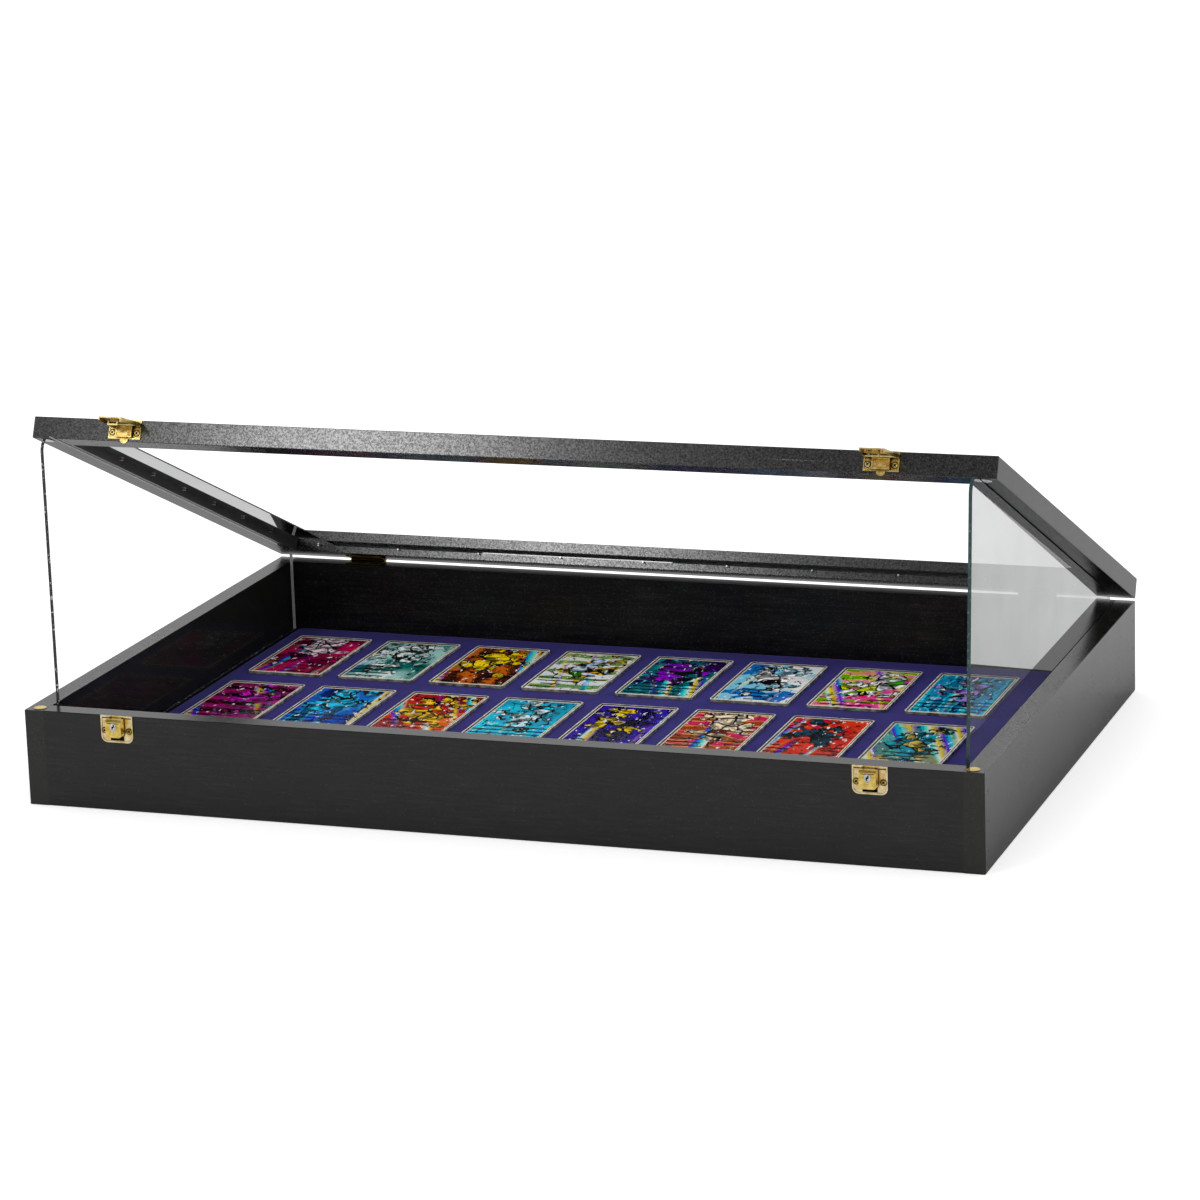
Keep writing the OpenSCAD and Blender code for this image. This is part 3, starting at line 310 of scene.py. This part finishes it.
# foil card: glossy ink in bold patches over a foil that breaks light up in slanting streaks, under a bright border
def cardMaterial(name, motif, seed, colours, width, length):  # width and length in millimetres
    material, add, shader = newMaterial(name, {"IOR": 1.45, "Specular IOR Level": 0.12})
    ground, main, deep, _, second = [linear(c) for c in colours]
    place = add("Mapping", {"Vector": add("UVMap", uv_map="face"), "Scale": (width, length, 1)})
    across, along, _ = add("SeparateXYZ", [place]).node.outputs
    moved = add("Mapping", {"Vector": place, "Location": (seed * 73, seed * 31, seed * 17)})
    warpMm = cardLook["warpMm"]
    shake = add("TexNoise", {"Vector": moved, "Scale": 1 / warpMm}, "Color")
    warp = add("VectorMath", [shake, (warpMm, warpMm, 0), moved], operation="MULTIPLY_ADD")
    # ground: broad soft fields with the motif over them
    if motif == "swirl":
        art = add("TexNoise", {"Vector": warp, "Scale": 1 / cardLook["motifMm"], "Detail": 1, "Distortion": 1.5})
    elif motif == "shards":
        art = add("SeparateColor", [add("TexVoronoi", {"Vector": warp, "Scale": 1 / cardLook["cellMm"]}, "Color")])
    else:
        art = add("TexWave", {"Vector": warp, "Scale": 0.012, "Distortion": 2.5, "Detail": 1, "Detail Scale": 0.05},
                  "Fac", wave_type="BANDS" if motif == "bands" else "RINGS")
    field = add("TexNoise", {"Vector": moved, "Scale": 1 / cardLook["fieldMm"], "Detail": 1})
    picture = add("Mix", {0: add("MapRange", [field, 0.42, 0.58, 0, 1]), 6: ground, 7: main}, 2, data_type="RGBA")
    for start, end, colour in ((0.62, 0.64, second), (0.32, 0.3, deep)):
        share = add("MapRange", [art, start, end, 0, 0.8])
        picture = add("Mix", {0: share, 6: picture, 7: colour}, 2, data_type="RGBA")
    # foil: two or three wide slanting rainbow streaks
    slant = add("Mapping", {"Vector": moved, "Rotation": (0, 0, math.radians(-20 + 9 * (seed % 4)))})
    stripe = add("Mapping", {"Vector": slant, "Scale": (1, 0.06, 1)})
    hue = add("Math", [add("SeparateXYZ", [stripe]), 0.045], operation="MULTIPLY")
    rainbow = add("ValToRGB", [add("Math", [hue], operation="FRACT")],
                  stops=[(0.0, "#2a4cf0"), (1.0, "#6a3af0"), (0.18, "#08c8f8"), (0.38, "#a0ffe8"), (0.52, "#ffffff"),
                         (0.66, "#ffe85a"), (0.82, "#ff5aa0")])
    foil = add("TexNoise", {"Vector": stripe, "Scale": 1 / cardLook["streakMm"], "Detail": 1})
    share = add("MapRange", [foil, 0.55, 0.63, 0, 0.8])
    picture = add("Mix", {0: share, 6: picture, 7: rainbow}, 2, data_type="RGBA")
    # figure in the middle: a few bold patches with dark outlines and shaded undersides
    figureMm = cardLook["figureMm"]
    offX = add("Math", [across, width * (0.44 + 0.03 * (seed % 5))], operation="SUBTRACT")
    offY = add("Math", [along, length * (0.6 + 0.02 * (seed % 4))], operation="SUBTRACT")
    offset = add("CombineXYZ", [offX, add("Math", [offY, 0.55], operation="MULTIPLY")])
    reach = add("VectorMath", [offset], "Value", operation="LENGTH")
    ragged = add("TexNoise", {"Vector": moved, "Scale": 1 / 24, "Detail": 2, "Distortion": 1.0})
    away = add("Math", [reach, add("MapRange", [ragged, 0.3, 0.7, -figureMm, figureMm])], operation="ADD")
    inside = add("Math", [away, figureMm], operation="LESS_THAN")
    patch = add("TexVoronoi", {"Vector": warp, "Scale": 1 / cardLook["patchMm"]}, "Color")
    figure = add("ValToRGB", [add("SeparateColor", [patch], "Green")],
                 stops=[(0.0, colours[3]), (0.9, "#0b0a12"), (0.35, colours[1]), (0.55, colours[3]),
                        (0.75, colours[2])])
    figure.node.color_ramp.interpolation = "CONSTANT"
    shade = add("MapRange", [add("TexNoise", {"Vector": warp, "Scale": 1 / 9}), 0.4, 0.6, 0.25, 1.3])
    figure = add("Mix", {0: 1.0, 6: figure, 7: shade}, 2, data_type="RGBA", blend_type="MULTIPLY")
    picture = add("Mix", {0: inside, 6: picture, 7: figure}, 2, data_type="RGBA")
    rim = add("Math", [away, figureMm, cardLook["outlineMm"]], operation="COMPARE")
    seam = add("TexVoronoi", {"Vector": warp, "Scale": 1 / cardLook["patchMm"]}, "Distance",
               feature="DISTANCE_TO_EDGE")
    ink = add("Math", [add("Math", [seam, 0.06], operation="LESS_THAN"), inside], operation="MULTIPLY")
    outline = add("Math", [rim, ink], operation="MAXIMUM")
    picture = add("Mix", {0: outline, 6: picture, 7: linear("#08070c")}, 2, data_type="RGBA")
    # small glints and dark flecks, then broken dark bars across the lower part
    dashes = add("Mapping", {"Vector": moved, "Scale": (1, 0.45, 1)})
    glint = add("TexNoise", {"Vector": dashes, "Scale": 1 / cardLook["glintMm"]})
    for start, end, colour in ((0.66, 0.68, (1, 1, 1, 1)), (0.38, 0.36, linear("#08070e"))):
        share = add("MapRange", [glint, start, end, 0, 0.9])
        picture = add("Mix", {0: share, 6: picture, 7: colour}, 2, data_type="RGBA")
    step = add("Math", [add("Math", [along, 3.0], operation="ADD"), cardLook["barPitchMm"]], operation="MODULO")
    bar = add("Math", [step, cardLook["barMm"]], operation="LESS_THAN")
    broken = add("TexNoise", {"Vector": dashes, "Scale": 1 / 30, "Detail": 1})
    bar = add("Math", [bar, add("Math", [broken, 0.48], operation="GREATER_THAN")], operation="MULTIPLY")
    lower = add("MapRange", [along, cardLook["barsBelowMm"], cardLook["barsBelowMm"] + 0.1, 0.95, 0])
    bar = add("Math", [bar, lower], operation="MULTIPLY")
    picture = add("Mix", {0: bar, 6: picture, 7: linear("#0a080e")}, 2, data_type="RGBA")
    # border: bright band, dark line and foil edge, thicker at the short ends
    farX = add("Math", [across, add("Math", [width, across], operation="SUBTRACT")], operation="MINIMUM")
    farY = add("Math", [along, add("Math", [length, along], operation="SUBTRACT")], operation="MINIMUM")
    edge = add("Math", [farX, add("Math", [farY, 0.6], operation="MULTIPLY")], operation="MINIMUM")
    reachMm = cardLook["rimMm"] + cardLook["lineMm"] + cardLook["paleMm"]
    for hexColour, thick in (("#f2ede2", cardLook["paleMm"]), ("#0d0b0a", cardLook["lineMm"]), ("#b8b2a2", 0)):
        band = add("Math", [edge, reachMm], operation="LESS_THAN")
        picture = add("Mix", {0: band, 6: picture, 7: linear(hexColour)}, 2, data_type="RGBA")
        reachMm -= thick
    colour = add("HueSaturation", {"Saturation": 1.35, "Value": 0.95, "Color": picture})
    feed(shader, {"Base Color": colour, "Roughness": add("MapRange", [art, 0.3, 0.7, 0.25, 0.45]),
                  "Normal": add("Bump", {"Height": art, "Strength": 0.1, "Distance": 0.0002})})
    return material


for row, designs in cardDesigns.items():
    low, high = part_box(row + "_cards")
    pitch = cardLook["pitchMm"] / 1000
    cardWidth = high[0] - low[0] - (len(designs) - 1) * pitch
    length = high[1] - low[1]
    cards = bmesh.new()
    for column in range(len(designs)):
        sheet = bmesh.new()
        bmesh.ops.create_cube(sheet, size=1)
        bmesh.ops.scale(sheet, verts=sheet.verts, vec=(cardWidth, length, cardLook["thick"]))
        upright = [e for e in sheet.edges if abs(e.verts[0].co.z - e.verts[1].co.z) > cardLook["thick"] / 2]
        bmesh.ops.bevel(sheet, geom=upright, offset=cardLook["cornerMm"] / 1000, segments=6, profile=0.5,
                        affect="EDGES", material=-1)
        sheetUv = sheet.loops.layers.uv.new("face")
        for face in sheet.faces:
            face.material_index = column
            for loop in face.loops:
                loop[sheetUv].uv = (loop.vert.co.x / cardWidth + 0.5, loop.vert.co.y / length + 0.5)
        middle = (low[0] + cardWidth / 2 + column * pitch, (low[1] + high[1]) / 2, (low[2] + high[2]) / 2)
        bmesh.ops.translate(sheet, verts=sheet.verts, vec=middle)
        single = bpy.data.meshes.new("sheet")
        sheet.to_mesh(single)
        cards.from_mesh(single)
        bpy.data.meshes.remove(single)
        sheet.free()
    cardsData = bpy.data.meshes.new(row + "_card_faces")
    cards.to_mesh(cardsData)
    piece = bpy.data.objects.new(row + "_card_faces", cardsData)
    bpy.context.collection.objects.link(piece)
    for column, (motif, seed, colours) in enumerate(designs):
        cardsData.materials.append(cardMaterial(f"foilCard_{row}_{column}", motif, seed, colours, cardWidth * 1000,
                                                length * 1000))
    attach(piece, "box")
    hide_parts(row + "_cards")
print("cards printed")

# moulded acrylic holder rims: milky, with painted light on top, painted olive grey shade at the sides, and painted
# shade where they meet velvet
material, add, shader = newMaterial("acrylicHolderRim", {"IOR": 1.49})
lift = add("Math", [add("SeparateXYZ", [add("TexCoord", output="Normal")], "Z")], operation="ABSOLUTE")
milky = add("TexNoise", {"Vector": add("TexCoord", output="Object"), "Scale": perMetre(9), "Detail": 3,
                         "Roughness": 0.6})
# the sides get a dim copy of the colour as painted shade, the tops a bright copy as painted light
side = add("ValToRGB", [milky], stops=[(0.35, "#4c4a40"), (0.65, "#a8a594")])
upper = add("ValToRGB", [milky], stops=[(0.35, "#c4c0b4"), (0.65, "#fbfaf4")])
body = add("Mix", {0: add("MapRange", [lift, 0.4, 0.8, 0, 1]), 6: side, 7: upper}, 2, data_type="RGBA")
# painted shade: ambient occlusion darkens the rims where they are hemmed in
openness = add("MapRange", [add("AmbientOcclusion", {"Distance": 0.0025}, "AO", samples=8), 0.3, 0.8, 0, 1])
feed(shader, {"Base Color": add("Mix", {0: openness, 6: linear("#2b2a2c"), 7: body}, 2, data_type="RGBA"),
              "Roughness": add("MapRange", [milky, 0.3, 0.7, 0.12, 0.3])})
dress(material, "rear_holders", "middle_holders", "front_holders")

# clear acrylic cover sheets: nothing shows but a faint glint with hairline scratches
material, add, shader = newMaterial("clearAcrylicCover", {"Metallic": 1.0, "Base Color": (0.95, 0.95, 0.95, 1)})
turned = add("Mapping", {"Vector": add("TexCoord", output="Object"), "Rotation": (0, 0, math.radians(25))})
hairline = add("TexNoise", {"Vector": add("Mapping", {"Vector": turned, "Scale": (0.1, 1, 1)}), "Scale": perMetre(0.8),
                            "Detail": 3, "Roughness": 0.6})
feed(shader, {"Roughness": add("MapRange", [hairline, 0.4, 0.7, 0.02, 0.2]), "Alpha": mirrorShare(add, 0.12)})
dress(material, "rear_covers", "middle_covers", "front_covers")

# float glass: each face is a clear sheet with a mirror share, each edge a dark teal band with bright nicks
glassLook = {
    "leftPaneGlass": {"node": "left_side_glass", "across": (1, 0, 0), "mirror": 0.3, "edge": ("#26292a", "#b4bcbc"),
                      "rear": "#a4a8a8", "nick": (0.6, 0.68)},
    # the lower part mirrors little, up to a line that rises to the front
    "rightPaneGlass": {"node": "right_side_glass", "across": (1, 0, 0), "mirror": 2.8, "edge": ("#2c4244", "#54716c"),
                       "rear": "#2c4244", "nick": (0.55, 0.7), "along": (0, 0.2874, 1), "change": (0.0989, 0.0993),
                       "shares": (0.35, 2.8)},
    # painted reflection: a strip along the left rail is made a strong mirror, the rest of the pane mirrors nothing
    "lidPaneGlass": {"node": "lid_glass", "across": (0, 0.402, 0.916), "mirror": 2.6, "edge": ("#1c2224", "#3c4a48"),
                     "rear": "#1c2224", "nick": (0.45, 0.65), "along": (1, 0, 0), "change": (-0.3787, -0.3783),
                     "shares": (2.6, 0)},
}
rearEdgeWidth = 0.0008
for name, look in glassLook.items():
    material, add, shader = newMaterial(name, {"Roughness": 0.01})
    point = add("TexCoord", output="Object")
    square = add("VectorMath", [add("TexCoord", output="Normal"), look["across"]], "Value", operation="DOT_PRODUCT")
    edge = add("Math", [add("Math", [square], operation="ABSOLUTE"), 0.6], operation="LESS_THAN")
    share = look["mirror"]
    if "along" in look:
        line = add("VectorMath", [point, look["along"]], "Value", operation="DOT_PRODUCT")
        share = add("MapRange", [line, *look["change"], *look["shares"]])
    nick = add("TexNoise", {"Vector": point, "Scale": perMetre(3), "Detail": 2, "Roughness": 0.6})
    nicks = add("ValToRGB", [nick], stops=list(zip(look["nick"], look["edge"])))
    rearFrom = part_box(look["node"])[1][1] - rearEdgeWidth
    rearEdge = add("Math", [add("SeparateXYZ", [point], "Y"), rearFrom], operation="GREATER_THAN")
    nicks = add("Mix", {0: rearEdge, 6: nicks, 7: linear(look["rear"])}, 2, data_type="RGBA")
    smear = add("TexNoise", {"Vector": point, "Scale": perMetre(60), "Detail": 3, "Roughness": 0.6})
    smear = add("ValToRGB", [smear], stops=[(0.4, "#e3e5e5"), (0.6, "#ebecec")])
    feed(shader, {"Base Color": add("Mix", {0: edge, 6: smear, 7: nicks}, 2, data_type="RGBA"),
                  "Alpha": add("Math", [mirrorShare(add, share), edge], operation="MAXIMUM"),
                  "Metallic": add("Math", [1.0, edge], operation="SUBTRACT")})
    dress(material, look["node"])

# plywood bottom, dark stained: dull with a long grain
material, add, shader = newMaterial("stainedPlywood", {"Roughness": 0.7})
drawn = add("Mapping", {"Vector": add("TexCoord", output="Object"), "Scale": (0.04, 1, 1)})
grain = add("TexNoise", {"Vector": drawn, "Scale": perMetre(3), "Detail": 4, "Roughness": 0.6})
feed(shader, {"Base Color": add("ValToRGB", [grain], stops=[(0.3, "#1c1a18"), (0.7, "#3a342c")]),
              "Normal": add("Bump", {"Height": grain, "Strength": 0.2, "Distance": 0.0002})})
dress(material, "bottom_panel")

# plain board under the velvet: pale fibres, seen only in a narrow line
material, add, shader = newMaterial("linerBoard", {"Roughness": 0.8})
fibre = add("TexNoise", {"Vector": add("TexCoord", output="Object"), "Scale": perMetre(2), "Detail": 4,
                         "Roughness": 0.6})
feed(shader, {"Base Color": add("ValToRGB", [fibre], stops=[(0.3, "#6e5c44"), (0.7, "#9a8666")])})
dress(material, "liner_board")

# where the plates' screws sit: sideways shift of a pair, height with the lid shut, tilt of their face at rest
screwPlaces = {"lock": (0.0037, 0.076, 0.0), "catch": (0.0045, 0.0992, 23.7)}
screwLook = {"pairX": 0.3534, "apart": 0.012, "headFront": -0.30158, "head": 0.0019, "hub": (0.0006, 0.001),
             "ring": (0.0029, 0.0034)}
hingeAxis = Vector((0, 0.3023, 0.0906))
dotFront = -0.30925  # only the lock's pilot dot stands out this far
# metals, all with painted shade in their corners: ambient occlusion darkens them towards a corner colour
metals = {
    # lacquered brass, polished: deep yellow with soft highlights
    "lacqueredBrass": {"nodes": ["left_lock_slider", "right_lock_slider", "wall_discs"],
                       "colour": ("#e0ba50", "#fbe288"), "corner": "#4a2c04", "rough": (0.2, 0.32), "scratch": 0.1,
                       "reachMm": 4.0},
    # thin polished brass: bright faces, with greenish dark painted shade in the folds
    "flapBrass": {"nodes": ["left_flap", "right_flap"], "colour": ("#d0ac54", "#fdeaa8"), "corner": "#0a1206",
                  "rough": (0.14, 0.26), "scratch": 0.1, "reachMm": 7.0},
    # stamped brass: pale and rosy, with a brown painted shadow in a ring round each screw
    "stampedBrass": {"nodes": ["left_lock_plate", "right_lock_plate"], "colour": ("#e2c07c", "#fff0c4"),
                     "corner": "#3a2006", "rough": (0.24, 0.38), "scratch": 0.15, "reachMm": 2.5, "ring": "lock"},
    "catchBrass": {"nodes": ["left_catch_plate", "right_catch_plate"], "colour": ("#cca450", "#fbe094"),
                   "corner": "#120c03", "rough": (0.2, 0.32), "scratch": 0.12, "reachMm": 4.0, "ring": "catch"},
    # turned brass screws: a gold rim round a cross painted black as shade
    "lockScrewBrass": {"nodes": ["lock_screws"], "colour": ("#b08a3c", "#f4dc98"), "corner": "#050302",
                       "rough": (0.22, 0.36), "scratch": 0.1, "reachMm": 1.0, "cross": "lock"},
    "catchScrewBrass": {"nodes": ["catch_screws"], "colour": ("#c8a450", "#fff0b4"), "corner": "#050302",
                        "rough": (0.22, 0.36), "scratch": 0.1, "reachMm": 1.0, "cross": "catch"},
    # satin brass, rolled: dull brown gold, its colour darkened as painted shade under the lid
    "satinBrass": {"nodes": ["box_hinge_leaves", "lid_hinge_leaves", "hinge_pins", "box_leaf_screws", "lid_leaf_screws",
                             "flap_pins"], "colour": ("#6e5a26", "#b99a4c"), "corner": "#0c0a04", "rough": (0.3, 0.45),
                   "scratch": 0.2, "reachMm": 3.0},
    # nickel plate, polished: cold silver, with black painted shade in the keyway
    "polishedNickel": {"nodes": ["left_key_cylinder", "right_key_cylinder", "lid_discs"],
                       "colour": ("#b4b4b8", "#f0f0f2"), "corner": "#020202", "rough": (0.12, 0.28), "scratch": 0.2,
                       "reachMm": 2.0},
    # drawn steel: small bright points
    "drawnSteel": {"nodes": ["corner_brads", "glazing_pins"], "colour": ("#c0c0c4", "#f6f6f8"), "corner": "#0a0a0a",
                   "rough": (0.25, 0.4), "scratch": 0.2, "reachMm": 0.5},
}
for name, look in metals.items():
    material, add, shader = newMaterial(name, {"Metallic": 1.0})
    point = add("TexCoord", output="Object")
    tarnish = add("TexNoise", {"Vector": point, "Scale": perMetre(5), "Detail": 3, "Roughness": 0.6})
    unshadedColour = add("ValToRGB", [tarnish], stops=[(0.35, look["colour"][0]), (0.65, look["colour"][1])])
    # painted shade: how open each point is decides how far it darkens towards the corner colour
    exposed = add("AmbientOcclusion", {"Distance": look["reachMm"] / 1000}, "AO", samples=8)
    exposed = add("MapRange", [exposed, 0.45, 0.92, 0, 1])
    if name == "lacqueredBrass":  # the pilot dot is nickel
        dot = add("Math", [add("SeparateXYZ", [point], "Y"), dotFront], operation="LESS_THAN")
        unshadedColour = add("Mix", {0: dot, 6: unshadedColour, 7: linear("#e8e8ea")}, 2, data_type="RGBA")
    if "ring" in look or "cross" in look:  # painted shadow in a ring round each screw head, and painted shade in the head's cross
        shift, height, tilt = screwPlaces[look.get("ring") or look["cross"]]
        turn = Matrix.Rotation(math.radians(tilt), 3, "X")
        shut = add("Mapping", {"Vector": point, "Location": hingeAxis - turn @ hingeAxis,
                               "Rotation": (math.radians(tilt), 0, 0)})
        x, y, z = add("SeparateXYZ", [shut]).node.outputs
        pair = add("Math", [add("Math", [x, shift], operation="ADD")], operation="ABSOLUTE")
        single = add("Math", [add("Math", [pair, screwLook["pairX"]], operation="SUBTRACT")], operation="ABSOLUTE")
        aside = add("CombineXYZ", {"X": add("Math", [single, screwLook["apart"]], operation="SUBTRACT"),
                                   "Y": add("Math", [z, height], operation="SUBTRACT")})
        away = add("VectorMath", [aside], "Value", operation="LENGTH")
        if "ring" in look:
            clear = add("MapRange", [away, *screwLook["ring"], 0, 1])
        else:
            sunk = add("Math", [y, screwLook["headFront"]], operation="GREATER_THAN")
            hub = add("MapRange", [away, *screwLook["hub"], 0, 1])
            clear = add("Math", [hub, sunk], operation="SUBTRACT", use_clamp=True)
            beyond = add("Math", [away, screwLook["head"]], operation="GREATER_THAN")
            clear = add("Math", [clear, beyond], operation="MAXIMUM")
        exposed = add("Math", [exposed, clear], operation="MULTIPLY")
    drawn = add("Mapping", {"Vector": point, "Scale": (0.15, 1, 1)})
    rub = add("TexNoise", {"Vector": drawn, "Scale": perMetre(0.5), "Detail": 3, "Roughness": 0.6})
    colour = add("Mix", {0: exposed, 6: linear(look["corner"]), 7: unshadedColour}, 2, data_type="RGBA")
    feed(shader, {"Base Color": colour, "Roughness": add("MapRange", [rub, 0.35, 0.65, *look["rough"]]),
                  "Normal": add("Bump", {"Height": rub, "Strength": look["scratch"], "Distance": 0.00003})})
    dress(material, *look["nodes"])
print("materials done")

bpy.context.scene.view_settings.view_transform = "Standard"
